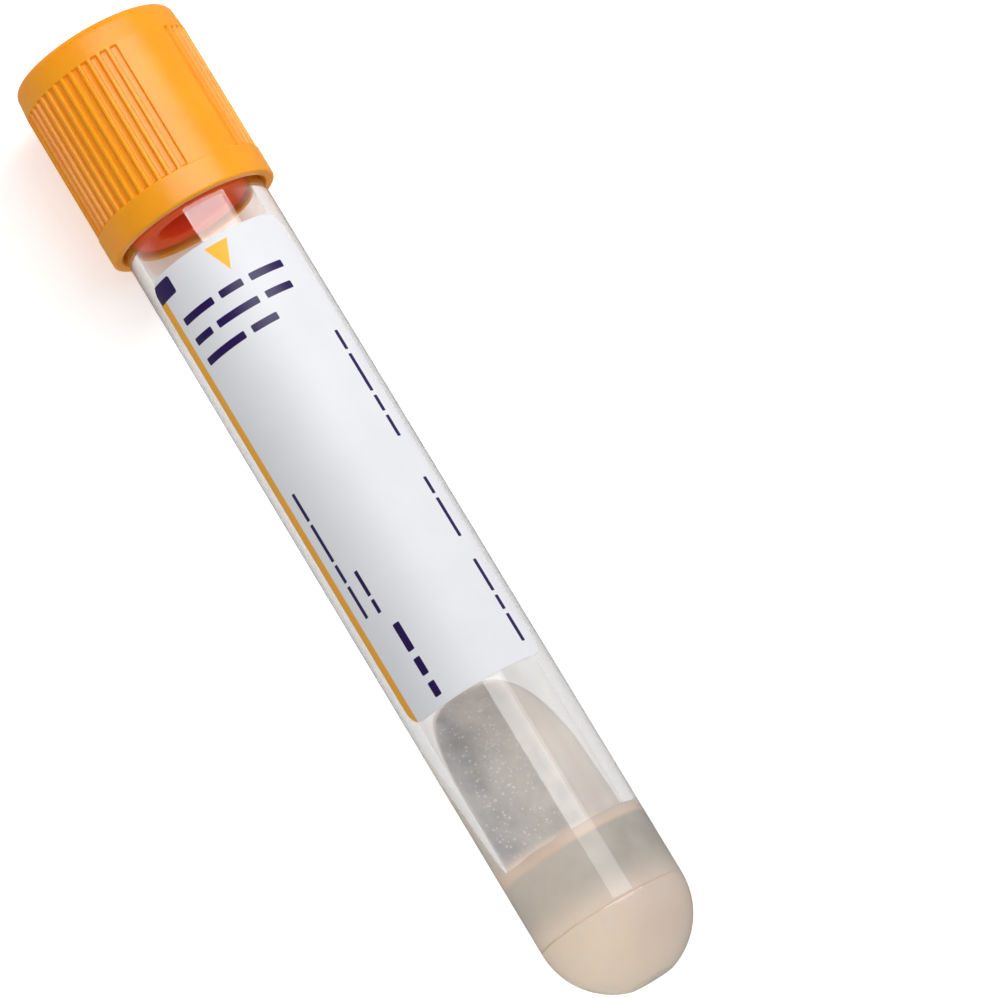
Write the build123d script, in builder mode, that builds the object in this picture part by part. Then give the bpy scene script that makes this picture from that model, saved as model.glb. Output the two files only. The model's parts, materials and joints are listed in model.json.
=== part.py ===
from build123d import *
from math import acos, atan2, cos, degrees, hypot, radians, sin, sqrt, tan
import os

# Blood collection tube with a pull-off safety closure, lying on a level surface.
#
# A clear moulded tube with a round bottom carries a wrapped label and holds a plug of
# separator gel. A soft stopper seals its mouth, held in a ribbed plastic shield whose
# skirt covers the joint. Sizes are in millimetres. A height is measured along the tube
# from the tip of its round bottom, and an angle around it from straight up.

# ---- Tube ----
tube_diameter = 15.6
tube_wall = 1.2
tube_length = 100.0
mouth_bevel = 0.3
seam_width = 0.16  # witness line of the mould, where the round bottom meets the wall
seam_depth = 0.04
gate_diameter = 3.4  # shallow recess at the tip, where the plastic was let in
gate_depth = 0.45

# ---- Label ----
label_bottom = 32.4
label_height = 50.8
label_thickness = 0.1
label_first_edge = -62.5  # angle at which the wrap starts
label_wrap = 129.0  # the rest of the way round is left bare, to see the sample
label_corner = 2.0

# ---- Separator gel ----
gel_level = 15.4  # flat surface across the upper half of the bore
gel_step_foot = 0.9  # the step up to the tongue starts this far above the axis
gel_step_top = 24.5  # and ends at this height,
gel_step_drop = 0.6  # this far below the axis
gel_tongue_tip = 33.0  # where the slope of the tongue meets the lower wall
gel_rounding = 2.0

# ---- Stopper ----
plug_length = 12.4
plug_clearance = 0.03  # stands for the squeeze of the soft plug in the bore
plug_lead = 0.6
plug_wall = 2.8  # round the hollow in the plug's lower end
well_depth = 8.2
well_taper = 1.2
flange_thickness = 1.9  # sits on the mouth of the tube
flange_margin = 0.5  # how far the flange stays inside the skirt
neck_step = 1.0  # how far the neck is set back from the head
head_height = 1.5
head_margin = 0.06
target_margin = 2.2  # from the edge of the head to the sunk target for the needle
target_depth = 0.6

# ---- Shield ----
skirt_overlap = 12.6  # how far the skirt reaches down over the tube
skirt_clearance = 0.3
skirt_wall = 0.98
closure_rise = 7.6  # how far the shield stands above the mouth of the tube
band_height = 3.1  # plain lower band, at the rim
crown_height = 3.0  # plain upper band, slightly tapered
crown_taper = 0.18
crown_rounding = 0.9  # drawn as two bevels
rim_bevel = 0.25
grip_step = 0.08  # from the band in to the ridges and the two plain panels
ridge_height = 0.3
ridge_crest = 0.34
ridge_slant = 70.0  # degrees, of the sides
ridge_pitch = 7.2  # degrees
ridges_per_grip = 19
grip_angle = 124.4  # middle of one grip, the other one is opposite
shoulder_thickness = 1.3  # inner flange that grips the neck of the stopper
top_ring_width = 1.0  # flat ring on top, between the rounded edge and the funnel
funnel_width = 1.7
funnel_depth = 1.1

# ---- Sizes that follow ----
tube_radius = tube_diameter / 2
bore_radius = tube_radius - tube_wall
skirt_radius = tube_radius + skirt_clearance
band_radius = skirt_radius + skirt_wall
grip_radius = band_radius - grip_step
root_radius = grip_radius - ridge_height
crown_radius = grip_radius - crown_taper
crown_shoulder = crown_rounding * (1 - sqrt(0.5))
funnel_radius = crown_radius - crown_rounding - top_ring_width
throat_radius = funnel_radius - funnel_width
head_radius = throat_radius - head_margin
neck_radius = head_radius - neck_step
target_radius = head_radius - target_margin
flange_radius = skirt_radius - flange_margin
plug_radius = bore_radius - plug_clearance
well_radius = plug_radius - plug_wall
plug_bottom = tube_length - plug_length
rim_height = tube_length - skirt_overlap
grip_bottom = rim_height + band_height
closure_top = tube_length + closure_rise
grip_top = closure_top - crown_height
shoulder_bottom = tube_length + flange_thickness
shoulder_top = shoulder_bottom + shoulder_thickness
head_top = shoulder_top + head_height

# ---- How it lies: the round bottom and the rim of the shield both touch the surface ----
rim_rise = rim_height + rim_bevel - tube_radius
slope = acos(tube_radius / hypot(band_radius, rim_rise)) - atan2(rim_rise, band_radius)

top_rise = closure_top - tube_radius
reach_to_top = top_rise * cos(slope) + (crown_radius - crown_rounding) * sin(slope)
gate_radius = gate_diameter / 2
reach_to_gate = sqrt(tube_radius**2 - gate_radius**2) * cos(slope) + gate_radius * sin(slope)

axis_direction = Vector(-cos(slope), 0, sin(slope))
upwards = Vector(sin(slope), 0, cos(slope))
bottom_centre = Vector((reach_to_top - reach_to_gate) / 2, 0, tube_radius)
tip = bottom_centre - axis_direction * tube_radius
tube_axis = Axis(tip, axis_direction)


def across(height):
    """Plane square to the tube at a height: x points up, y to the back."""
    return Plane(origin=tip + axis_direction * height, x_dir=upwards, z_dir=axis_direction)


def lengthwise(angle=0.0):
    """Plane through the tube's axis: x points outwards at an angle, y towards the closure."""
    outwards = upwards * cos(radians(angle)) + Vector(0, sin(radians(angle)), 0)
    return Plane(origin=tip, x_dir=outwards, z_dir=outwards.cross(axis_direction))


def facing(height, angle):
    """Plane that touches the tube's outer wall: x points around it, y towards the closure."""
    section = lengthwise(angle)
    touch = tip + axis_direction * height + section.x_dir * tube_radius
    return Plane(origin=touch, x_dir=section.z_dir * -1, z_dir=section.x_dir)


# ---- Clear tube, one moulding ----
with BuildPart() as tube:
    with BuildSketch(lengthwise()):
        with BuildLine():
            outer_bottom = CenterArc((0, tube_radius), tube_radius, -90, 90)
            outer_wall = Line(outer_bottom @ 1, (tube_radius, tube_length))
            mouth = Line(outer_wall @ 1, (bore_radius, tube_length))
            inner_wall = Line(mouth @ 1, (bore_radius, tube_radius))
            inner_bottom = CenterArc((0, tube_radius), bore_radius, 0, -90)
            Line(inner_bottom @ 1, outer_bottom @ 0)
        make_face()
    revolve(axis=tube_axis)
    with BuildSketch(across(0)):
        Circle(gate_radius)
    extrude(amount=gate_depth, mode=Mode.SUBTRACT)
    with BuildSketch(lengthwise()):
        with Locations((tube_radius, tube_radius)):
            Rectangle(2 * seam_depth, seam_width)
    revolve(axis=tube_axis, mode=Mode.SUBTRACT)
    chamfer(tube.edges().group_by(tube_axis)[-1], mouth_bevel)
tube.part.label = "tube"


# ---- Label, wrapped round the tube with its four corners rounded ----
with BuildPart() as label:
    with BuildSketch(lengthwise(label_first_edge)):
        with Locations((tube_radius, label_bottom)):
            Rectangle(label_thickness, label_height, align=Align.MIN)
    revolve(axis=tube_axis, revolution_arc=label_wrap)
    for edge_angle, around in ((label_first_edge, 1), (label_first_edge + label_wrap, -1)):
        for edge_height, along in ((label_bottom, 1), (label_bottom + label_height, -1)):
            with BuildSketch(facing(edge_height, edge_angle)):
                Rectangle(2 * label_corner, 2 * label_corner)
                with Locations((2 * around * label_corner, 2 * along * label_corner)):
                    RectangleRounded(
                        4 * label_corner, 4 * label_corner, label_corner, mode=Mode.SUBTRACT
                    )
            extrude(amount=label_corner, both=True, mode=Mode.SUBTRACT)
label.part.label = "label"


# ---- Separator gel: fills the round bottom, with a tongue along the lower wall ----
with BuildPart() as separator_gel:
    with BuildSketch(lengthwise()):
        with BuildLine():
            gel_bottom = CenterArc((0, tube_radius), bore_radius, -90, 90)
            gel_side = Line(gel_bottom @ 1, (bore_radius, gel_tongue_tip))
            gel_end = Line(gel_side @ 1, (0, gel_tongue_tip))
            Line(gel_end @ 1, gel_bottom @ 0)
        make_face()
    revolve(axis=tube_axis)
    with BuildSketch(lengthwise()):
        with BuildLine():
            surface = FilletPolyline(
                (tube_radius, gel_level),
                (gel_step_foot, gel_level),
                (-gel_step_drop, gel_step_top),
                (-bore_radius, gel_tongue_tip),
                radius=gel_rounding,
            )
            Polyline(surface @ 1, (tube_radius, gel_tongue_tip), surface @ 0)
        make_face()
    extrude(amount=tube_radius, both=True, mode=Mode.SUBTRACT)
separator_gel.part.label = "separator_gel"


# ---- Stopper, one turned form in soft rubber ----
with BuildPart() as stopper:
    with BuildSketch(lengthwise()):
        with BuildLine():
            Polyline(
                (0, plug_bottom + well_depth),
                (well_radius - well_taper, plug_bottom + well_depth),
                (well_radius, plug_bottom + well_depth - well_taper),
                (well_radius, plug_bottom),
                (plug_radius - plug_lead, plug_bottom),
                (plug_radius, plug_bottom + plug_lead),
                (plug_radius, tube_length),
                (flange_radius, tube_length),
                (flange_radius, shoulder_bottom),
                (neck_radius, shoulder_bottom),
                (neck_radius, shoulder_top),
                (head_radius, shoulder_top),
                (head_radius, head_top),
                (target_radius, head_top),
                (target_radius - target_depth, head_top - target_depth),
                (0, head_top - target_depth),
                close=True,
            )
        make_face()
    revolve(axis=tube_axis)
stopper.part.label = "stopper"


# ---- Shield, one moulding with two ribbed grips and two plain panels ----
ridge_foot = ridge_crest + 4 * ridge_height / tan(radians(ridge_slant))
grip_turn = ridge_pitch * (ridges_per_grip + 1) - degrees(ridge_crest / grip_radius)
panel_turn = 180 - grip_turn

with BuildPart() as shield:
    with BuildSketch(lengthwise()):
        with BuildLine():
            Polyline(
                (grip_radius, grip_top),
                (crown_radius, closure_top - crown_rounding),
                (crown_radius - crown_shoulder, closure_top - crown_shoulder),
                (crown_radius - crown_rounding, closure_top),
                (funnel_radius, closure_top),
                (throat_radius, closure_top - funnel_depth),
                (throat_radius, shoulder_top),
                (neck_radius + head_margin, shoulder_top),
                (neck_radius + head_margin, shoulder_bottom),
                (skirt_radius, shoulder_bottom),
                (skirt_radius, rim_height),
                (band_radius - rim_bevel, rim_height),
                (band_radius, rim_height + rim_bevel),
                (band_radius, grip_bottom),
                (root_radius, grip_bottom),
                (root_radius, grip_top),
                close=True,
            )
        make_face()
    revolve(axis=tube_axis)
    with BuildSketch(across(grip_bottom)):
        for middle in (grip_angle, grip_angle + 180):
            first_ridge = middle - ridge_pitch * (ridges_per_grip - 1) / 2
            with PolarLocations(
                root_radius,
                ridges_per_grip,
                start_angle=first_ridge,
                angular_range=ridge_pitch * (ridges_per_grip - 1),
                endpoint=True,
            ):
                Trapezoid(ridge_foot, 2 * ridge_height, ridge_slant, rotation=-90)
            with BuildLine():
                panel_start = middle + grip_turn / 2
                panel_face = CenterArc((0, 0), grip_radius, panel_start, panel_turn)
                panel_back = CenterArc((0, 0), root_radius - ridge_height, panel_start, panel_turn)
                Line(panel_face @ 0, panel_back @ 0)
                Line(panel_face @ 1, panel_back @ 1)
            make_face()
    extrude(amount=grip_top - grip_bottom)
shield.part.label = "shield"


os.makedirs("parts", exist_ok=True)
export_step(tube.part, "parts/tube.step")
export_step(label.part, "parts/label.step")
export_step(separator_gel.part, "parts/separator_gel.step")
export_step(stopper.part, "parts/stopper.step")
export_step(shield.part, "parts/shield.step")
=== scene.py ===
import json
from math import acos, atan2, cos, degrees, exp, hypot, pi, radians, sin, sqrt

import bpy
from mathutils import Matrix, Vector, noise


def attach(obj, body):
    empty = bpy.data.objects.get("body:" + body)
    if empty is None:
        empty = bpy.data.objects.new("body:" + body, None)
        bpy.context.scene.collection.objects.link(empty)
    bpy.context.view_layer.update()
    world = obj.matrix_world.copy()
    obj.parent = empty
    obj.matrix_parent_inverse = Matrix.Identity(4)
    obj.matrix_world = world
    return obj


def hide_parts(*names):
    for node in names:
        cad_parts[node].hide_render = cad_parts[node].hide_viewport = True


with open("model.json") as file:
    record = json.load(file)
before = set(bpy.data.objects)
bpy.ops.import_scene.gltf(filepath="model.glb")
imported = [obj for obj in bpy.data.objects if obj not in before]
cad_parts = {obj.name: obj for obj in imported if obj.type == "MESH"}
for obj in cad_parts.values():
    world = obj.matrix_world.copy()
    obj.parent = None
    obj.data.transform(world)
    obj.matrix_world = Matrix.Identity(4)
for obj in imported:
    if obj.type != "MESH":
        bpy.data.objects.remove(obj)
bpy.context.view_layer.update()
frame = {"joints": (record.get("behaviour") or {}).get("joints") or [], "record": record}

# Blood collection tube with a pull-off safety closure, lying on a pale floor.
#
# Sizes are in millimetres. A height is measured along the tube from the tip of its round
# bottom, and an angle around it from straight up, towards the back.
MM = 0.001

# ---- Tube ----
tube_radius = 7.8
bore_radius = 6.6
tube_length = 100.0
tube_facets = 288
mouth_rounding = 0.3
even_stretch = 0.15  # straight wall beside a rounding, so that the rounding shades evenly
wall_rings = (20, 32, 44, 56, 68, 80, 92)  # heights that split the long wall
seam_height = tube_radius  # line left by the mould, where the round bottom meets the wall
seam_depth = 0.04
seam_half_width = 0.1
gate_radius = 1.7  # shallow recess at the tip, where the plastic was let in
gate_depth = 0.3
gate_slope = 1.6  # its soft side is this wide

# ---- Label ----
label_bottom = 32.4
label_height = 50.8
label_thickness = 0.1
label_radius = tube_radius + label_thickness
label_bond = 0.01  # its glued face lies this far in the wall
label_first_edge = -62.5
label_wrap = 129.0
label_corner = 2.0
arrow_middle = 9.25  # across the label, from its first edge
arrow_point = 47.1  # up the label, from its lower edge
arrow_top = 50.12
arrow_slope = 2.4
arrow_blur = 0.06
field_blur = 0.04
dash_blur = 0.03

# ---- Separator gel ----
gel_level = 15.4
gel_step_foot = 0.9
gel_step_top = 24.5
gel_step_drop = 0.6
gel_tongue_tip = 34.5
gel_tongue_turn = 15.0  # its tip lies this far round towards the front
gel_softness = 2.2  # how far its folds are rounded
gel_climb = 0.45  # how far it clings up the wall
gel_climb_reach = 0.5
gel_ripple = 0.2
gel_fine_ripple = 0.05
gel_bond = 0.05  # the gel wets the wall, so its outside lies this far in the plastic

# ---- Stopper ----
stopper_facets = 192
plug_bottom = 87.6
plug_lead = 0.6
plug_film = 0.02  # air film between the plug and the wall
plug_wall = 2.8
well_depth = 8.2
well_rounding = 1.2
well_lip = 0.3
flange_radius = 7.6
neck_radius = 4.16
head_radius = 5.16
head_rounding = 0.35
head_top = 104.7
target_radius = 2.96
target_depth = 0.6

# ---- Shield ----
rim_height = 87.4
skirt_radius = 8.1
band_radius = 9.08
grip_bottom = 90.5
grip_top = 104.6
grip_step = 0.08
grip_radius = band_radius - grip_step
ridge_height = 0.3
root_radius = grip_radius - ridge_height
ridge_crest = 0.34
ridge_pitch = 7.2
ridges_per_grip = 19
grip_angle = 124.4
closure_top = 107.6
crown_radius = 8.82
crown_rounding = 0.9
crown_taper_angle = 5
rim_rounding = 0.25
shoulder_bottom = 101.9
shoulder_top = 103.2
shoulder_room = 0.06  # between the shoulder and the neck of the stopper
funnel_radius = 6.92
funnel_depth = 1.1
funnel_rounding = 0.2
throat_radius = 5.22
edge_break = 0.15

# ---- The tube's own frame: x points up from its axis, y to the back, z to the closure ----
closure_pull = frame["joints"][0]
rack_seat = next(m for m in frame["record"]["mounts"] if m["name"] == "rack_seat")
rack_seat_height = 47.6  # the rack_seat mount lies this high on the tube's axis
to_closure = Vector(closure_pull["axis"]).normalized()
to_back = Vector((0, 1, 0))
upwards = to_back.cross(to_closure)
tip = Vector(rack_seat["pos_m"]) - to_closure * rack_seat_height * MM
tube_frame = Matrix((upwards, to_back, to_closure)).transposed().to_4x4()
tube_frame.translation = tip


# ======== Meshes ========


def arc(centre_radius, centre_height, rounding, start, end, steps=6):
    """Points of a rounding in a profile, from angle to angle: 0 is outwards and 90 up."""
    points = []
    for step in range(steps + 1):
        angle = radians(start + (end - start) * step / steps)
        points.append((centre_radius + rounding * cos(angle), centre_height + rounding * sin(angle), 0))
    return points


def even_turn(count):
    """Angles once round the tube, each with no groove in it."""
    return [(360 * step / count, 0) for step in range(count)]


def skin(rows):
    """Faces between rows of points that go once round, with triangles where points meet."""
    faces = []
    for low, high in zip(rows, rows[1:]):
        for here in range(len(low)):
            after = (here + 1) % len(low)
            corners = (low[here], low[after], high[after], high[here])
            faces.append(tuple(dict.fromkeys(corners)))
    return faces


def turned(profile, turn, closed=False):
    """Turns a profile of (radius, height, share of the groove) about the tube's axis.

    The turn gives each angle with the depth of the groove there.
    """
    vertices = []
    rows = []
    for radius, height, share in profile:
        if radius == 0:
            rows.append([len(vertices)] * len(turn))
            vertices.append((0, 0, height))
            continue
        rows.append(range(len(vertices), len(vertices) + len(turn)))
        for angle, depth in turn:
            reach = radius - share * depth
            vertices.append((reach * cos(radians(angle)), reach * sin(radians(angle)), height))
    if closed:
        rows.append(rows[0])
    return vertices, skin(rows)


def make_piece(name, shape, finish, body, stands_for, crease=35):
    """A piece of the object in the tube's own frame, in place of the CAD node of that part.

    Edges that turn by more than the crease, in degrees, stay sharp.
    """
    vertices, faces = shape
    mesh = bpy.data.meshes.new(name)
    mesh.from_pydata([Vector(vertex) * MM for vertex in vertices], [], faces)
    mesh.shade_smooth()
    mesh.set_sharp_from_angle(angle=radians(crease))
    mesh.materials.append(finish)
    made = bpy.data.objects.new(name, mesh)
    bpy.context.scene.collection.objects.link(made)
    made.matrix_world = tube_frame
    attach(made, body)
    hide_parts(stands_for)


def clear_tube_shape():
    """The tube: gate recess, round bottom, mould line, wall, rounded mouth and bore."""
    gate_outside = gate_radius + gate_slope / 2
    gate_edge = -degrees(acos(gate_outside / tube_radius))
    gate_edge_height = tube_radius - sqrt(tube_radius**2 - gate_outside**2)
    seam_edge = -degrees(seam_half_width / tube_radius)
    profile = [(0, gate_depth, 0)]
    gate_steps = 8
    for step in range(gate_steps):
        share = step / gate_steps
        fall = (1 - cos(pi * share)) / 2
        radius = gate_outside - gate_slope * (1 - share)
        profile.append((radius, gate_depth + (gate_edge_height - gate_depth) * fall, 0))
    profile += arc(0, tube_radius, tube_radius, gate_edge, seam_edge, 36)
    for away, depth in ((-0.5, 0.6), (0, 1), (0.5, 0.6), (1, 0)):
        height = seam_height + seam_half_width * away
        profile.append((tube_radius - seam_depth * depth, height, 0))
    profile.append((tube_radius, seam_height + seam_half_width + even_stretch, 0))
    profile += [(tube_radius, height, 0) for height in wall_rings]
    rounding_height = tube_length - mouth_rounding
    profile.append((tube_radius, rounding_height - even_stretch, 0))
    profile += arc(tube_radius - mouth_rounding, rounding_height, mouth_rounding, 0, 90)
    profile += arc(bore_radius + mouth_rounding, rounding_height, mouth_rounding, 90, 180)
    profile.append((bore_radius, rounding_height - even_stretch, 0))
    profile += [(bore_radius, height, 0) for height in reversed(wall_rings)]
    profile.append((bore_radius, tube_radius + even_stretch, 0))
    profile += arc(0, tube_radius, bore_radius, 0, -89, 36)
    profile.append((0, tube_radius - bore_radius, 0))
    return turned(profile, even_turn(tube_facets))


def wrap_label_shape():
    """The label: a sheet with four rounded corners, bent round the tube."""
    width = radians(label_wrap) * label_radius
    corner_steps = 12
    spans = 60
    quarter = [radians(90 * step / corner_steps) for step in range(corner_steps + 1)]
    bends = [label_corner * (1 - cos(angle)) for angle in quarter]
    middle = [label_corner + (width - 2 * label_corner) * step / spans for step in range(1, spans)]
    columns = bends + middle + [width - bend for bend in reversed(bends)]
    row_count = 48
    vertices = []
    for radius in (label_radius, tube_radius - label_bond):
        for across in columns:
            inset = max(label_corner - min(across, width - across), 0)
            cut = label_corner - sqrt(label_corner**2 - inset**2)
            angle = radians(label_first_edge) + across / label_radius
            for row in range(row_count + 1):
                height = label_bottom + cut + (label_height - 2 * cut) * row / row_count
                vertices.append((radius * cos(angle), radius * sin(angle), height))
    rows = row_count + 1
    inner = len(columns) * rows
    faces = []
    for column in range(len(columns) - 1):
        for row in range(row_count):
            here = column * rows + row
            corners = (here, here + rows, here + rows + 1, here + 1)
            faces.append(corners)
            faces.append(tuple(inner + corner for corner in reversed(corners)))
    outline = [column * rows for column in range(len(columns))]
    outline += [(len(columns) - 1) * rows + row for row in range(1, rows)]
    outline += [column * rows + row_count for column in reversed(range(len(columns) - 1))]
    outline += [row for row in reversed(range(1, row_count))]
    for here, after in zip(outline, outline[1:] + outline[:1]):
        faces.append((inner + here, inner + after, after, here))
    return vertices, faces


def soft_max(a, b, softness):
    """The larger of two values, with a soft fold where they cross."""
    return (a + b + sqrt((a - b) ** 2 + softness**2)) / 2


def gel_height(x, y):
    """Height of the gel's open surface over a point of the bore, x upwards from the axis."""
    past_drop = x + gel_step_drop
    step_slope = (gel_step_top - gel_level) / (gel_step_foot + gel_step_drop)
    along_tongue = -past_drop / (bore_radius - gel_step_drop)
    step = gel_step_top - past_drop * step_slope
    tongue = gel_step_top + (gel_tongue_tip - gel_step_top) * along_tongue * (1.5 - along_tongue / 2)
    fold = -soft_max(-step, -tongue, gel_softness)
    surface = soft_max(gel_level, fold, gel_softness / 2)
    climb = gel_climb * exp((hypot(x, y) - bore_radius) / gel_climb_reach)
    # The last number of each place only picks the pattern.
    ripple = gel_ripple * noise.noise(Vector((x / 3.1, y / 2.3, 4)))
    fine_ripple = gel_fine_ripple * noise.noise(Vector((x, y, 9)))
    return surface + climb + (ripple + fine_ripple)


def gel_plug_shape():
    """The gel: a round bottom and a wall up to its own shore line, closed by its surface."""
    radius = bore_radius + gel_bond
    # Angles down the back from the top, closer together where the step meets the wall.
    half = [2.0 * step for step in range(37)]
    half += [74 + 0.5 * step for step in range(65)]
    half += [108 + 2.0 * step for step in range(37)]
    last = len(half) - 1
    turn = half + [360 - angle for angle in reversed(half[1:-1])]
    vertices = [(0, 0, tube_radius - radius)]
    rows = [[0] * len(turn)]
    for _, height, _ in arc(0, tube_radius, radius, -88, 0, 24):
        reach = sqrt(radius**2 - (height - tube_radius) ** 2)
        rows.append(range(len(vertices), len(vertices) + len(turn)))
        vertices += [(reach * cos(radians(a)), reach * sin(radians(a)), height) for a in turn]
    wall_rows = 10
    for row in range(1, wall_rows + 1):
        rows.append(range(len(vertices), len(vertices) + len(turn)))
        for angle in turn:
            x = radius * cos(radians(angle))
            y = radius * sin(radians(angle))
            shore = gel_height(x, y)
            vertices.append((x, y, tube_radius + (shore - tube_radius) * row / wall_rows))
    faces = skin(rows)
    shore_row = rows[-1]
    spans = 56  # of the open surface, from its back shore to its front one
    lines = []
    for step, angle in enumerate(half):
        back_end = shore_row[step]
        front_end = shore_row[-step] if 0 < step < last else back_end
        line = [back_end]
        for span in range(1, spans):
            if step in (0, last):
                line.append(back_end)
                continue
            x = radius * cos(radians(angle))
            y = radius * sin(radians(angle)) * cos(pi * span / spans)
            line.append(len(vertices))
            vertices.append((x, y, gel_height(x, y)))
        lines.append(line + [front_end])
    for upper, lower in zip(lines, lines[1:]):
        for here in range(spans):
            corners = (upper[here], lower[here], lower[here + 1], upper[here + 1])
            corners = tuple(dict.fromkeys(corners))
            if len(corners) > 2:
                faces.append(corners)
    turn_back = Matrix.Rotation(radians(gel_tongue_turn), 3, "Z")
    return [turn_back @ Vector(vertex) for vertex in vertices], faces


def rubber_stopper_shape():
    """The stopper: plug with a well in its lower end, flange, neck and head with a target."""
    plug_radius = bore_radius - plug_film
    well_radius = bore_radius - plug_wall
    well_top = plug_bottom + well_depth
    profile = [(0, well_top, 0)]
    profile += arc(well_radius - well_rounding, well_top - well_rounding, well_rounding, 90, 0, 8)
    profile += arc(well_radius + well_lip, plug_bottom + well_lip, well_lip, 180, 270)
    profile += arc(plug_radius - plug_lead, plug_bottom + plug_lead, plug_lead, 270, 360, 8)
    profile.append((plug_radius, tube_length - mouth_rounding, 0))
    profile.append((plug_radius, tube_length, 0))
    profile.append((flange_radius, tube_length, 0))
    profile.append((flange_radius, shoulder_bottom, 0))
    profile.append((neck_radius, shoulder_bottom, 0))
    profile.append((neck_radius, shoulder_top, 0))
    profile.append((head_radius, shoulder_top, 0))
    profile += arc(head_radius - head_rounding, head_top - head_rounding, head_rounding, 0, 90)
    half_depth = target_depth / 2
    profile += arc(target_radius + half_depth, head_top - half_depth, half_depth, 90, 180)
    profile += arc(target_radius - half_depth, head_top - half_depth, half_depth, 0, -90)[1:]
    profile.append((0, head_top - target_depth, 0))
    return turned(profile, even_turn(stopper_facets))


def shield_turn():
    """Angles round the shield, each with the depth of the groove there in millimetres."""
    # A ridge's sloped side, as millimetres past its crest and the share of the groove there.
    flank = ((-0.05, 0), (0, 0.06), (0.035, 0.25), (0.075, 0.75), (0.11, 0.94), (0.17, 1))
    one_mm = degrees(1 / grip_radius)
    half_crest = ridge_crest / 2 * one_mm
    half_panel = 90 - ridge_pitch * (ridges_per_grip + 1) / 2 + half_crest
    half_groove = ridge_pitch / 2 - half_crest
    panel_spans = 24
    panel_reach = 0.98  # keeps its middle points clear of its ends
    raised = []
    for middle in (grip_angle, grip_angle + 180):
        first = middle - ridge_pitch * (ridges_per_grip - 1) / 2
        raised += [(first + ridge_pitch * ridge, half_crest, 1) for ridge in range(ridges_per_grip)]
        raised.append((middle + 90, half_panel, panel_spans))
    turn = []
    for middle, half, spans in raised:
        for offset, share in reversed(flank):
            turn.append((middle - half - offset * one_mm, share * ridge_height))
        for span in range(1, spans):
            turn.append((middle + half * (2 * span / spans - 1) * panel_reach, 0))
        for offset, share in flank:
            turn.append((middle + half + offset * one_mm, share * ridge_height))
        turn.append((middle + half + half_groove, ridge_height))
    return turn


def ribbed_shield_shape():
    """The shield: rim, band, ribbed grips and plain panels, crown, funnel and skirt."""
    # A groove's soft end, as millimetres into the grip and the share of the groove there.
    groove_end = ((0, 0), (0.06, 0.25), (0.14, 0.75), (0.2, 1))
    past_groove_end = 0.3
    grip_height = grip_top - grip_bottom
    grip_spans = 12
    profile = arc(skirt_radius + edge_break, rim_height + edge_break, edge_break, 180, 270, 4)
    profile += arc(band_radius - rim_rounding, rim_height + rim_rounding, rim_rounding, 270, 360)
    profile.append((band_radius, rim_height + rim_rounding + edge_break, 0))
    profile.append((band_radius, grip_bottom - grip_step - edge_break, 0))
    profile += arc(band_radius - grip_step, grip_bottom - grip_step, grip_step, 0, 90, 4)
    profile += [(grip_radius, grip_bottom + away, share) for away, share in groove_end[1:]]
    profile.append((grip_radius, grip_bottom + past_groove_end, 1))
    profile.append((grip_radius, grip_bottom + 2 * past_groove_end, 1))
    for span in range(1, grip_spans):
        profile.append((grip_radius, grip_bottom + grip_height * span / grip_spans, 1))
    profile.append((grip_radius, grip_top - past_groove_end, 1))
    profile += [(grip_radius, grip_top - away, share) for away, share in reversed(groove_end)]
    crown_centre = crown_radius - crown_rounding
    crown_foot = closure_top - crown_rounding
    for share in (0.1, 0.9):
        radius = grip_radius + (crown_radius - grip_radius) * share
        profile.append((radius, grip_top + (crown_foot - grip_top) * share, 0))
    profile += arc(crown_centre, crown_foot, crown_rounding, crown_taper_angle, 90, 12)
    funnel_angle = 90 + degrees(atan2(funnel_depth, funnel_radius - throat_radius))
    funnel_edge = funnel_radius + funnel_rounding / 2
    profile += arc(funnel_edge, closure_top - funnel_rounding, funnel_rounding, 90, funnel_angle, 4)
    throat_top = closure_top - funnel_depth - edge_break
    profile += arc(throat_radius + edge_break, throat_top, edge_break, funnel_angle, 180, 4)
    profile.append((throat_radius, shoulder_top, 0))
    profile.append((neck_radius + shoulder_room, shoulder_top, 0))
    profile.append((neck_radius + shoulder_room, shoulder_bottom, 0))
    profile.append((skirt_radius, shoulder_bottom, 0))
    return turned(profile, shield_turn(), closed=True)


# ======== Finishes ========


def node(tree, kind, inputs=None, **settings):
    """A shader node with its settings, and its inputs linked or set."""
    made = tree.nodes.new(kind)
    for name, value in settings.items():
        setattr(made, name, value)
    for name, value in (inputs or {}).items():
        if isinstance(value, bpy.types.NodeSocket):
            tree.links.new(value, made.inputs[name])
        else:
            made.inputs[name].default_value = value
    return made


def maths(tree, operation, a, b=0.0, c=0.0, clamp=False):
    """One step of arithmetic on values that change over the surface."""
    made = node(tree, "ShaderNodeMath", {0: a, 1: b, 2: c}, operation=operation, use_clamp=clamp)
    return made.outputs[0]


def ramp(tree, value, zero_at, one_at):
    """0 up to one value, 1 past the other and a smooth rise between them."""
    inputs = {"Value": value, "From Min": zero_at, "From Max": one_at}
    return node(tree, "ShaderNodeMapRange", inputs, interpolation_type="SMOOTHSTEP").outputs[0]


def between(tree, share, first, second):
    """A value that goes from the first to the second as the share goes from 0 to 1."""
    return maths(tree, "MULTIPLY_ADD", share, second - first, first)


def hypotenuse(tree, a, b):
    """The long side of a right-angled triangle with the short sides a and b."""
    squares = maths(tree, "MULTIPLY", a, a)
    squares = maths(tree, "MULTIPLY_ADD", b, b, squares)
    return maths(tree, "SQRT", squares)


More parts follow.
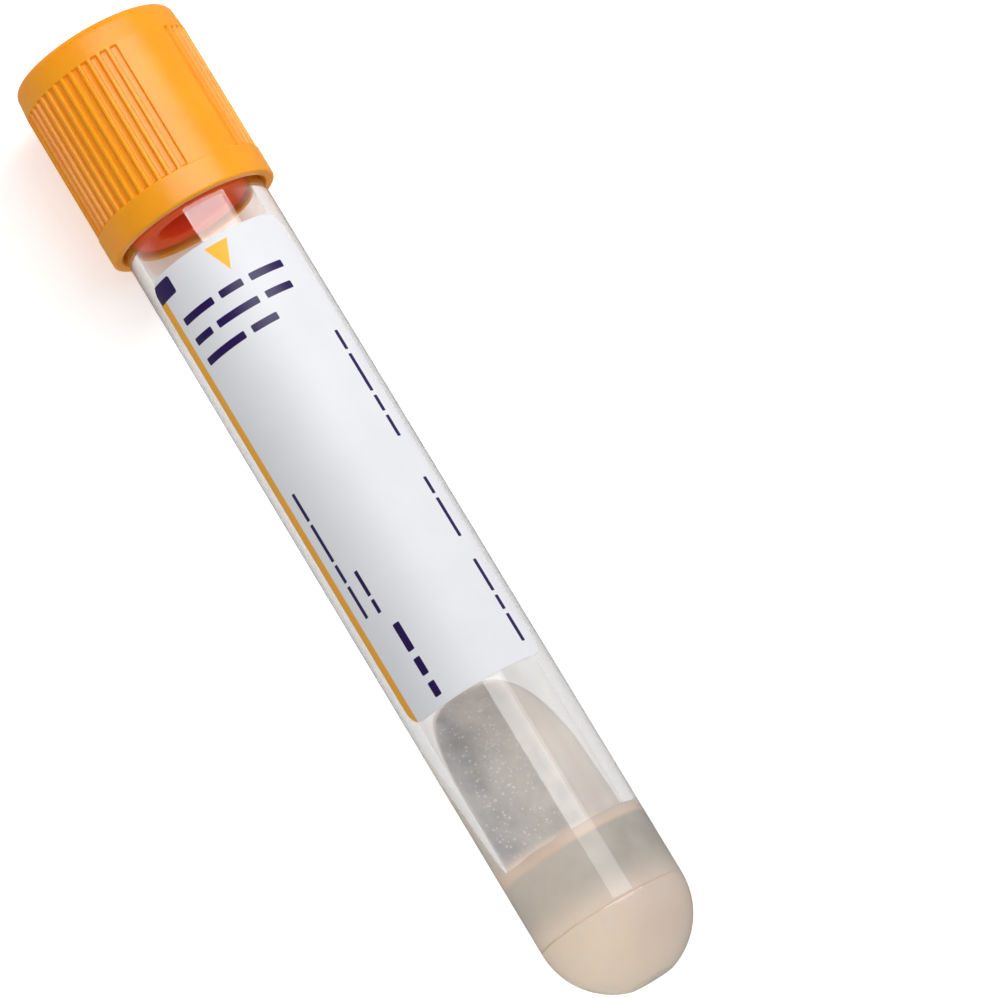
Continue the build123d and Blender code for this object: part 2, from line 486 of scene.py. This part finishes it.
def mixed(tree, share, first, second):
    """The first colour, with a share of the second over it."""
    made = node(tree, "ShaderNodeMix", data_type="RGBA")
    for socket, value in zip((made.inputs[0], made.inputs[6], made.inputs[7]), (share, first, second)):
        if isinstance(value, bpy.types.NodeSocket):
            tree.links.new(value, socket)
        else:
            socket.default_value = value
    return made.outputs[2]


def place_in_mm(tree):
    """The place on the piece in the tube's own frame, in millimetres."""
    spot = node(tree, "ShaderNodeTexCoord").outputs["Object"]
    scaled = node(tree, "ShaderNodeVectorMath", {0: spot, "Scale": 1 / MM}, operation="SCALE")
    return scaled.outputs[0]


def parts_of(tree, place):
    """How far a place is above the tube's axis and behind it, and its height on the tube."""
    return node(tree, "ShaderNodeSeparateXYZ", {0: place}).outputs


def new_effect(name, inputs, outputs):
    """An empty node group, with the ends of its inputs and outputs."""
    group = bpy.data.node_groups.new(name, "ShaderNodeTree")
    for title, kind, value in inputs:
        socket = group.interface.new_socket(title, in_out="INPUT", socket_type="NodeSocket" + kind)
        if value is not None:
            socket.default_value = value
    for title, kind in outputs:
        group.interface.new_socket(title, in_out="OUTPUT", socket_type="NodeSocket" + kind)
    return group, group.nodes.new("NodeGroupInput").outputs, group.nodes.new("NodeGroupOutput").inputs


def make_moulded_grain():
    """Fine grain and slow unevenness of moulded plastic, rubber and paper."""
    group, given, result = new_effect(
        "moulded_grain",
        [("Place", "Vector", None), ("Grain size", "Float", 0.2), ("Patch size", "Float", 4.0)],
        [("Height", "Float"), ("Patches", "Float")],
    )
    place = given["Place"]
    fine_scale = maths(group, "DIVIDE", 1.0, given["Grain size"])
    fine = node(group, "ShaderNodeTexNoise", {"Vector": place, "Scale": fine_scale, "Detail": 4.0})
    slow_scale = maths(group, "DIVIDE", 1.0, given["Patch size"])
    slow = node(group, "ShaderNodeTexNoise", {"Vector": place, "Scale": slow_scale, "Detail": 3.0})
    group.links.new(fine.outputs[0], result["Height"])
    group.links.new(ramp(group, slow.outputs[0], 0.3, 0.7), result["Patches"])
    return group


def make_specks():
    """Small round specks of many sizes, such as dust or fine bubbles."""
    group, given, result = new_effect(
        "specks",
        [("Place", "Vector", None), ("Spacing", "Float", 1.0), ("Cover", "Float", 0.2)],
        [("Mask", "Float")],
    )
    scale = maths(group, "DIVIDE", 1.0, given["Spacing"])
    cells = node(group, "ShaderNodeTexVoronoi", {"Vector": given["Place"], "Scale": scale})
    chance = node(group, "ShaderNodeSeparateColor", {0: cells.outputs["Color"]})
    size = maths(group, "MULTIPLY", chance.outputs[0], given["Cover"])
    size = maths(group, "MULTIPLY", size, chance.outputs[1])
    full_within = maths(group, "MULTIPLY", size, 0.55)
    outside = ramp(group, cells.outputs["Distance"], full_within, size)
    group.links.new(maths(group, "SUBTRACT", 1.0, outside), result["Mask"])
    return group


def make_handling_marks():
    """Fine hairline scratches that run mostly along the tube."""
    group, given, result = new_effect(
        "handling_marks",
        [("Place", "Vector", None), ("Amount", "Float", 0.5)],
        [("Mask", "Float")],
    )
    stretched = node(group, "ShaderNodeMapping", {
        "Vector": given["Place"],
        "Rotation": (0.12, 0.05, 0),
        "Scale": (3.0, 3.0, 0.12),
    })
    hairs = node(group, "ShaderNodeTexNoise", {"Vector": stretched.outputs[0], "Scale": 2.4, "Detail": 6.0})
    worn = node(group, "ShaderNodeTexNoise", {"Vector": given["Place"], "Scale": 0.2})
    fine = ramp(group, hairs.outputs[0], 0.62, 0.7)
    where = ramp(group, worn.outputs[0], 0.42, 0.62)
    both = maths(group, "MULTIPLY", fine, where)
    group.links.new(maths(group, "MULTIPLY", both, given["Amount"], clamp=True), result["Mask"])
    return group


moulded_grain = make_moulded_grain()
specks = make_specks()
handling_marks = make_handling_marks()


def effect(tree, group, **inputs):
    """One of the shared effects placed in a finish."""
    named = {name.replace("_", " "): value for name, value in inputs.items()}
    return node(tree, "ShaderNodeGroup", named, node_tree=group).outputs


def new_finish(name):
    """An empty finish, with its node tree and the place on the piece in millimetres."""
    material = bpy.data.materials.new(name)
    material.use_nodes = True
    tree = material.node_tree
    tree.nodes.clear()
    return material, tree, place_in_mm(tree)


def show(tree, shader):
    """Ends a finish with its shader."""
    node(tree, "ShaderNodeOutputMaterial", {"Surface": shader})


def show_pale_shadow(tree, shader, let_through):
    """Ends a finish whose shadow is pale, as it lets this much of each colour of light through."""
    lamplight = node(tree, "ShaderNodeBsdfTransparent", {"Color": let_through})
    in_shadow = node(tree, "ShaderNodeLightPath").outputs["Is Shadow Ray"]
    both = node(tree, "ShaderNodeMixShader", {0: in_shadow, 1: shader, 2: lamplight.outputs[0]})
    show(tree, both.outputs[0])


def bump(tree, height, distance):
    """A rough surface, with the distance from its lowest to its highest in millimetres."""
    return node(tree, "ShaderNodeBump", {"Height": height, "Distance": distance * MM}).outputs[0]


def shield_plastic():
    """Semi-gloss golden-orange plastic, slightly translucent, with a fine moulded grain."""
    material, tree, place = new_finish("shield_plastic")
    grain = effect(tree, moulded_grain, Place=place, Grain_size=0.22, Patch_size=5.0)
    marks = effect(tree, handling_marks, Place=place, Amount=0.6)
    dirt = effect(tree, specks, Place=place, Spacing=0.9, Cover=0.16)
    above, behind, _ = parts_of(tree, place)
    out_of_grooves = ramp(tree, hypotenuse(tree, above, behind), root_radius, grip_radius)
    golden = mixed(tree, grain["Patches"], (0.97, 0.35, 0.003, 1), (1.0, 0.39, 0.005, 1))
    # Painted shade: the grooves get a deeper orange than the ridges.
    groove_shade_golden = (1.0, 0.35, 0.003, 1)
    ribbed = mixed(tree, out_of_grooves, groove_shade_golden, golden)
    pale_scratch = (1, 0.45, 0.08, 1)
    marked = mixed(tree, maths(tree, "MULTIPLY", marks["Mask"], 0.25), ribbed, pale_scratch)
    brown_dirt = (0.75, 0.22, 0.006, 1)
    dirty = mixed(tree, maths(tree, "MULTIPLY", dirt["Mask"], 0.35), marked, brown_dirt)
    rough = between(tree, grain["Height"], 0.28, 0.4)
    rough = maths(tree, "MULTIPLY_ADD", marks["Mask"], 0.12, rough)
    shader = node(tree, "ShaderNodeBsdfPrincipled", {
        "Base Color": dirty,
        "Roughness": rough,
        "IOR": 1.5,
        "Subsurface Weight": 0.45,
        "Subsurface Radius": (1.0, 0.5, 0.1),
        "Subsurface Scale": 0.0012,
        "Normal": bump(tree, grain["Height"], 0.012),
    })
    show(tree, shader.outputs[0])
    return material


def stopper_rubber():
    """Matt red-orange rubber with a soft bloom."""
    material, tree, place = new_finish("stopper_rubber")
    grain = effect(tree, moulded_grain, Place=place, Grain_size=0.12, Patch_size=3.0)
    dust = effect(tree, specks, Place=place, Spacing=0.5, Cover=0.3)
    red_orange = mixed(tree, grain["Patches"], (0.99, 0.075, 0.001, 1), (1.0, 0.1, 0.001, 1))
    pale_bloom = (0.95, 0.25, 0.08, 1)
    dusty = mixed(tree, maths(tree, "MULTIPLY", dust["Mask"], 0.3), red_orange, pale_bloom)
    shader = node(tree, "ShaderNodeBsdfPrincipled", {
        "Base Color": dusty,
        "Roughness": between(tree, grain["Height"], 0.5, 0.7),
        "IOR": 1.5,
        "Specular IOR Level": 0.2,
        "Subsurface Weight": 0.6,
        "Subsurface Radius": (1.0, 0.35, 0.1),
        "Subsurface Scale": 0.002,
        "Normal": bump(tree, grain["Height"], 0.02),
    })
    show(tree, shader.outputs[0])
    return material


def clear_plastic():
    """Clear moulded plastic with hairline marks and a rougher, darker mould line."""
    material, tree, place = new_finish("clear_plastic")
    marks = effect(tree, handling_marks, Place=place, Amount=0.5)
    _, _, height = parts_of(tree, place)
    off_seam = maths(tree, "ABSOLUTE", maths(tree, "SUBTRACT", height, seam_height))
    seam = ramp(tree, off_seam, 0.14, 0.04)
    rough = between(tree, marks["Mask"], 0.02, 0.12)
    rough = maths(tree, "MULTIPLY_ADD", seam, 0.3, rough)
    clear = (0.98, 0.974, 0.968, 1)
    dark_line = (0.8, 0.6, 0.5, 1)
    shader = node(tree, "ShaderNodeBsdfPrincipled", {
        "Base Color": mixed(tree, seam, clear, dark_line),
        "Metallic": 0.0,
        "Roughness": rough,
        "IOR": 1.57,
        "Transmission Weight": 1.0,
    })
    show_pale_shadow(tree, shader.outputs[0], (0.97, 0.965, 0.96, 1))
    return material


def cloudy_gel():
    """Cloudy gel: grey where it is thin, warmer in the round bottom, with fine bubbles and painted light
    and shade on its sides.
    """
    material, tree, place = new_finish("cloudy_gel")
    grain = effect(tree, moulded_grain, Place=place, Grain_size=0.6, Patch_size=2.4)
    bubbles = effect(tree, specks, Place=place, Spacing=0.3, Cover=0.8)
    above, behind, height = parts_of(tree, place)
    backwards = ramp(tree, behind, -4.0, 4.0)

    # Painted light on the front of the round bottom and at its tip, painted shade on its back.
    dome = mixed(tree, backwards, (1.0, 0.88, 0.76, 1), (0.84, 0.75, 0.68, 1))
    lit_dome_tip = (1.0, 0.89, 0.78, 1)
    dome = mixed(tree, ramp(tree, height, 4.5, 1.0), dome, lit_dome_tip)
    # The wall above it has painted light on its front and painted shade on its back.
    wall = mixed(tree, backwards, (0.7, 0.665, 0.615, 1), (0.53, 0.515, 0.48, 1))
    body = mixed(tree, ramp(tree, height, 7.5, 11.5), dome, wall)
    warm_shore = (1.0, 0.77, 0.67, 1)
    at_shore = maths(tree, "MULTIPLY", ramp(tree, height, 14.6, 15.1), ramp(tree, above, -2.0, 1.0))
    body = mixed(tree, at_shore, body, warm_shore)

    # Painted shade on the tongue's front and painted light on its back.
    shaded_front_grey = (0.26, 0.27, 0.3, 1)
    middle_grey = (0.42, 0.42, 0.41, 1)
    tongue = mixed(tree, ramp(tree, behind, -5.0, -1.0), shaded_front_grey, middle_grey)
    lit_pale_back = (0.88, 0.81, 0.77, 1)
    tongue = mixed(tree, ramp(tree, behind, 1.6, 3.6), tongue, lit_pale_back)
    shaded_foot = (0.14, 0.14, 0.14, 1)
    low_down = maths(tree, "MULTIPLY", ramp(tree, height, 27.0, 19.0), 0.25)
    tongue = mixed(tree, low_down, tongue, shaded_foot)
    pale_edge = (0.75, 0.73, 0.7, 1)
    at_wall = ramp(tree, hypotenuse(tree, above, behind), bore_radius - 0.25, bore_radius)
    tongue = mixed(tree, at_wall, tongue, pale_edge)
    open_side = ramp(tree, height, 15.6, 17.5)
    body = mixed(tree, open_side, body, tongue)

    cloud = (0.88, 0.85, 0.8, 1)
    patchy = mixed(tree, maths(tree, "MULTIPLY", grain["Patches"], 0.25), body, cloud)
    bright_bubble = (0.9, 0.9, 0.89, 1)
    bubbly = maths(tree, "MULTIPLY", open_side, ramp(tree, behind, 2.5, -1.0))
    bubbly = maths(tree, "MULTIPLY", bubbly, 0.4)
    spotted = mixed(tree, maths(tree, "MULTIPLY", bubbles["Mask"], bubbly), patchy, bright_bubble)
    shader = node(tree, "ShaderNodeBsdfPrincipled", {
        "Base Color": spotted,
        "Roughness": between(tree, grain["Height"], 0.35, 0.55),
        "IOR": 1.42,
        "Transmission Weight": 0.6,
        "Subsurface Weight": 1.0,
        "Subsurface Radius": (1.0, 0.8, 0.6),
        "Subsurface Scale": 0.0015,
        "Normal": bump(tree, grain["Height"], 0.03),
    })
    show_pale_shadow(tree, shader.outputs[0], (0.95, 0.9, 0.84, 1))
    return material


def rounded_field(tree, across, up, left, right, bottom, top, corner):
    """Mask of a printed rectangle with rounded corners, on the label's own millimetres."""
    beyond = []
    for value, low, high in ((across, left, right), (up, bottom, top)):
        offset = maths(tree, "SUBTRACT", value, (low + high) / 2)
        offset = maths(tree, "ABSOLUTE", offset)
        beyond.append(maths(tree, "SUBTRACT", offset, (high - low) / 2 - corner))
    outside = [maths(tree, "MAXIMUM", value, 0.0) for value in beyond]
    inside = maths(tree, "MINIMUM", maths(tree, "MAXIMUM", *beyond), 0.0)
    distance = maths(tree, "ADD", hypotenuse(tree, *outside), inside)
    return ramp(tree, maths(tree, "SUBTRACT", corner, distance), -field_blur, field_blur)


def any_of(tree, masks):
    """Where at least one of the masks is."""
    joined = masks[0]
    for mask in masks[1:]:
        joined = maths(tree, "MAXIMUM", joined, mask)
    return joined


def dashes(tree, along, above, start, lengths, foot, height):
    """Mask of a row of plain printed dashes with rounded ends, one height apart."""
    within = []
    for length in lengths:
        off_middle = maths(tree, "ABSOLUTE", maths(tree, "SUBTRACT", along, start + length / 2))
        within.append(maths(tree, "SUBTRACT", length / 2, off_middle))
        start += length + height
    off_line = maths(tree, "ABSOLUTE", maths(tree, "SUBTRACT", above, foot + height / 2))
    across_line = maths(tree, "SUBTRACT", height / 2, off_line)
    inwards = maths(tree, "SMOOTH_MIN", any_of(tree, within), across_line, height * 0.3)
    return ramp(tree, inwards, -dash_blur, dash_blur)


def label_paper():
    """Coated white paper with a golden stripe, a fill mark and plain dashes for its print."""
    material, tree, place = new_finish("label_paper")
    grain = effect(tree, moulded_grain, Place=place, Grain_size=0.1, Patch_size=6.0)
    dust = effect(tree, specks, Place=place, Spacing=1.4, Cover=0.1)
    above, behind, height = parts_of(tree, place)
    from_edge = maths(tree, "SUBTRACT", maths(tree, "ARCTAN2", behind, above), radians(label_first_edge))
    across = maths(tree, "MULTIPLY", from_edge, label_radius)
    up = maths(tree, "SUBTRACT", height, label_bottom)
    down = maths(tree, "MULTIPLY", up, -1.0)

    def field(left, right, bottom, top, corner):
        return rounded_field(tree, across, up, left, right, bottom, top, corner)

    stripe = field(left=-2.0, right=1.12, bottom=-2.0, top=48.6, corner=0.05)
    print_marks = [field(left=0.14, right=3.24, bottom=48.4, top=50.3, corner=0.28)]
    # A row across the label: where it starts, the length of each dash, its foot and its height.
    for start, lengths, foot, high in (
        (2.0, (4.2, 2.6, 3.9), 45.1, 0.8),
        (2.0, (2.5, 4.8, 3.1), 42.8, 0.8),
        (2.0, (5.2, 2.9), 40.5, 0.8),
    ):
        print_marks.append(dashes(tree, across, up, start, lengths, foot, high))
    # A row that runs down the label, in the same way.
    for start, lengths, foot, high in (
        (-37.3, (2.2, 4.3, 1.8, 2.4), 15.6, 0.5),
        (-20.4, (1.9, 4.4), 15.6, 0.5),
        (-11.0, (3.6, 1.6, 3.1), 15.6, 0.5),
        (-25.4, (3.1, 4.2, 2.0, 3.6), 2.35, 0.42),
        (-15.6, (2.8, 1.5), 4.05, 0.42),
        (-9.2, (3.1, 1.9, 1.6), 4.7, 0.8),
    ):
        print_marks.append(dashes(tree, down, across, start, lengths, foot, high))
    ink = any_of(tree, print_marks)

    off_middle = maths(tree, "ABSOLUTE", maths(tree, "SUBTRACT", across, arrow_middle))
    slant = maths(tree, "MULTIPLY", off_middle, arrow_slope)
    past_sides = maths(tree, "SUBTRACT", maths(tree, "SUBTRACT", up, arrow_point), slant)
    arrow = ramp(tree, past_sides, -arrow_blur, arrow_blur)
    arrow = maths(tree, "MULTIPLY", arrow, ramp(tree, up, arrow_top + field_blur, arrow_top - field_blur))

    white = mixed(tree, grain["Patches"], (0.78, 0.785, 0.82, 1), (0.805, 0.81, 0.845, 1))
    grey_dust = (0.5, 0.5, 0.5, 1)
    golden = (0.9, 0.4, 0.006, 1)
    # The fill mark is golden print, painted paler as a highlight.
    golden_with_highlight = (1.0, 0.52, 0.02, 1)
    dark_ink = (0.02, 0.004, 0.09, 1)
    dusty = mixed(tree, maths(tree, "MULTIPLY", dust["Mask"], 0.2), white, grey_dust)
    striped = mixed(tree, stripe, dusty, golden)
    arrowed = mixed(tree, arrow, striped, golden_with_highlight)
    printed = mixed(tree, ink, arrowed, dark_ink)
    shader = node(tree, "ShaderNodeBsdfPrincipled", {
        "Base Color": printed,
        "Roughness": between(tree, ink, 0.48, 0.36),
        "IOR": 1.48,
        "Normal": bump(tree, grain["Height"], 0.008),
    })
    show_pale_shadow(tree, shader.outputs[0], (0.85, 0.85, 0.85, 1))
    return material


# ======== The pieces ========

make_piece(
    "clear_tube", clear_tube_shape(), clear_plastic(),
    body="tube", stands_for="tube",
)
make_piece(
    "wrap_label", wrap_label_shape(), label_paper(),
    body="tube", stands_for="label",
)
make_piece(
    "gel_plug", gel_plug_shape(), cloudy_gel(),
    body="tube", stands_for="separator_gel", crease=60,
)
make_piece(
    "rubber_stopper", rubber_stopper_shape(), stopper_rubber(),
    body="closure", stands_for="stopper",
)
make_piece(
    "ribbed_shield", ribbed_shield_shape(), shield_plastic(),
    body="closure", stands_for="shield",
)


# ======== Floor, light and camera ========


def by_kind_of_look(tree, to_the_eye, through_plastic, in_the_wall, in_gloss, as_light):
    """A strength for each way in which a ray comes to the floor or the sky.

    It is seen straight or through the clear plastic, as a reflection on the inside of the
    plastic's wall, as a reflection on anything else, or it is light on a piece.
    """
    path = node(tree, "ShaderNodeLightPath").outputs
    through = path["Is Transmission Ray"]
    mirrored = maths(tree, "GREATER_THAN", path["Glossy Depth"], 0.5)
    both = maths(tree, "MULTIPLY", through, mirrored)
    lighting = maths(tree, "GREATER_THAN", path["Diffuse Depth"], 0.5)
    strength = as_light
    for way, value in (
        (path["Is Camera Ray"], to_the_eye),
        (through, through_plastic),
        (mirrored, in_gloss),
        (both, in_the_wall),
        (lighting, as_light),
    ):
        change = maths(tree, "SUBTRACT", value, strength)
        strength = maths(tree, "MULTIPLY_ADD", way, change, strength)
    return strength


def lay_floor():
    """A wide pale floor that looks white and keeps the soft shadow."""
    half = 1.5  # metres
    corners = [(-half, -half, 0), (half, -half, 0), (half, half, 0), (-half, half, 0)]
    mesh = bpy.data.meshes.new("floor")
    mesh.from_pydata(corners, [], [(0, 1, 2, 3)])
    material, tree, _ = new_finish("floor_paper")
    shade = by_kind_of_look(
        tree, to_the_eye=0.8, through_plastic=0.8, in_the_wall=0.8, in_gloss=0.3, as_light=0.8
    )
    paper = node(tree, "ShaderNodeBsdfDiffuse", {"Color": shade})
    strength = by_kind_of_look(
        tree, to_the_eye=0.4, through_plastic=0.16, in_the_wall=0.12, in_gloss=0, as_light=0.35
    )
    glow = node(tree, "ShaderNodeEmission", {"Color": (1, 1, 1, 1), "Strength": strength})
    both = node(tree, "ShaderNodeAddShader", {0: paper.outputs[0], 1: glow.outputs[0]})
    show(tree, both.outputs[0])
    mesh.materials.append(material)
    floor = bpy.data.objects.new("floor", mesh)
    bpy.context.scene.collection.objects.link(floor)


def light_the_sky():
    """Even soft light from all sides, white to the eye and dark overhead in reflections."""
    world = bpy.data.worlds.new("studio")
    bpy.context.scene.world = world
    world.use_nodes = True
    tree = world.node_tree
    tree.nodes.clear()
    direction = node(tree, "ShaderNodeTexCoord").outputs["Generated"]
    rise = node(tree, "ShaderNodeSeparateXYZ", {0: direction}).outputs[2]
    overhead = ramp(tree, rise, 0.0, 0.25)
    walls = between(tree, overhead, 0.8, 0.04)
    mirrored = between(tree, overhead, 0.35, 0.04)
    strength = by_kind_of_look(
        tree, to_the_eye=1, through_plastic=0.85, in_the_wall=walls, in_gloss=mirrored, as_light=0.46
    )
    sky = node(tree, "ShaderNodeBackground", {"Color": (1, 1, 1, 1), "Strength": strength})
    node(tree, "ShaderNodeOutputWorld", {"Surface": sky.outputs[0]})


def hang_lamp(name, low, high, lean, width, distance, watts):
    """A rectangular lamp along the tube, from height to height, leaning towards the back."""
    lamp = bpy.data.lights.new(name, "AREA")
    lamp.shape = "RECTANGLE"
    lamp.size = (high - low) * MM
    lamp.size_y = width * MM
    lamp.energy = watts
    hung = bpy.data.objects.new(name, lamp)
    bpy.context.scene.collection.objects.link(hung)
    away = upwards * cos(radians(lean)) + to_back * sin(radians(lean))
    across = away.cross(to_closure)
    hung.matrix_world = Matrix((to_closure, across, away)).transposed().to_4x4()
    hung.location = tip + to_closure * (low + high) / 2 * MM + away * distance * MM


def set_camera(height, rise, aim_height, aim_back, closure_lean, lens):
    """A camera at a height on the tube and a rise above its axis, aimed at a point beside it.

    The closure leans this many degrees to the left of straight up in its view.
    """
    eye = tip + to_closure * height * MM + upwards * rise * MM
    aim = tip + to_closure * aim_height * MM + to_back * aim_back * MM
    forward = (aim - eye).normalized()
    side = forward.cross(to_closure).normalized()
    top = side.cross(forward)
    lean = radians(closure_lean)
    right = side * cos(lean) - top * sin(lean)
    above = side * sin(lean) + top * cos(lean)
    data = bpy.data.cameras.new("camera")
    data.lens = lens
    data.sensor_width = 36
    data.clip_end = 10
    camera = bpy.data.objects.new("camera", data)
    bpy.context.scene.collection.objects.link(camera)
    camera.matrix_world = Matrix((right, above, -forward)).transposed().to_4x4()
    camera.location = eye
    bpy.context.scene.camera = camera


lay_floor()
light_the_sky()
hang_lamp("strip_lamp", low=40, high=150, lean=28, width=165, distance=300, watts=0.145)
hang_lamp("wide_lamp", low=150, high=172, lean=27, width=385, distance=300, watts=0.132)
hang_lamp("top_lamp", low=172, high=240, lean=27, width=400, distance=300, watts=0.54)
set_camera(height=-58.55, rise=580.8, aim_height=47.97, aim_back=11.46, closure_lean=31.3, lens=219.2)
bpy.context.scene.view_settings.view_transform = "Standard"
